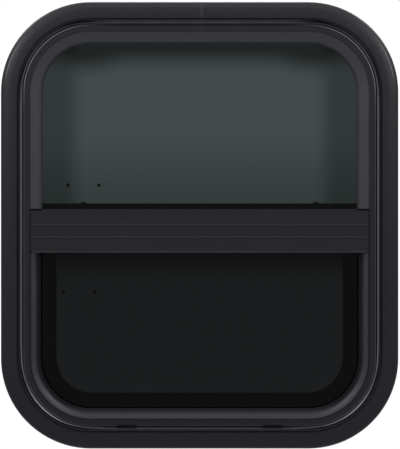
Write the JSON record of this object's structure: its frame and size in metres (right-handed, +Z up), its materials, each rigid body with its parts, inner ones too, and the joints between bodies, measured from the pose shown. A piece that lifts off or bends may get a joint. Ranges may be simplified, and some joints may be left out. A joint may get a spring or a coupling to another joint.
{
  "type": "caravan window",
  "caption": "Caravan window with rounded corners: fixed tinted upper pane, sliding tinted lower pane with insect screen, middle bar, weep slots and an inner clamp ring.",
  "frame": {"origin": "on the flange's bearing rim, where it meets the outer wall skin, midway across the rim at the middle of the bottom edge", "axes": "+X to the right as seen from outside, +Y through the wall into the room, +Z up"},
  "size_m": [0.42, 0.0474, 0.472],
  "materials": {
    "powder_coat": "satin black powder coat",
    "mill_metal": "mill finish",
    "glazing_rubber": "dull moulded rubber",
    "foam": "closed-cell foam",
    "upper_pane": "dark tinted glass",
    "lower_pane": "dark tinted glass",
    "run_pile": "flocked run channel",
    "mesh": "woven glass-fibre insect mesh",
    "black_plastic": "moulded plastic"
  },
  "bodies": {
    "root": {"outer_frame": "powder_coat", "frame_joiner": "mill_metal", "flange_seal": "foam", "upper_glazing_strip": "glazing_rubber", "lower_glazing_strip": "glazing_rubber", "upper_glass": "upper_pane", "upper_glass_seal": "glazing_rubber", "middle_bar": "powder_coat", "bar_seal": "glazing_rubber", "meeting_pile": "run_pile", "lower_glass": "lower_pane", "sash_top_rail": "powder_coat", "sash_latch_left": "black_plastic", "sash_latch_right": "black_plastic", "sash_run_left": "run_pile", "sash_run_right": "run_pile", "sill_run": "run_pile", "screen_frame": "powder_coat", "screen_mesh": "mesh", "screen_spline": "glazing_rubber", "screen_clip_left": "black_plastic", "screen_clip_right": "black_plastic", "screen_clip_lower_left": "black_plastic", "screen_clip_lower_right": "black_plastic", "clamp_ring": "powder_coat"}
  },
  "joints": []
}
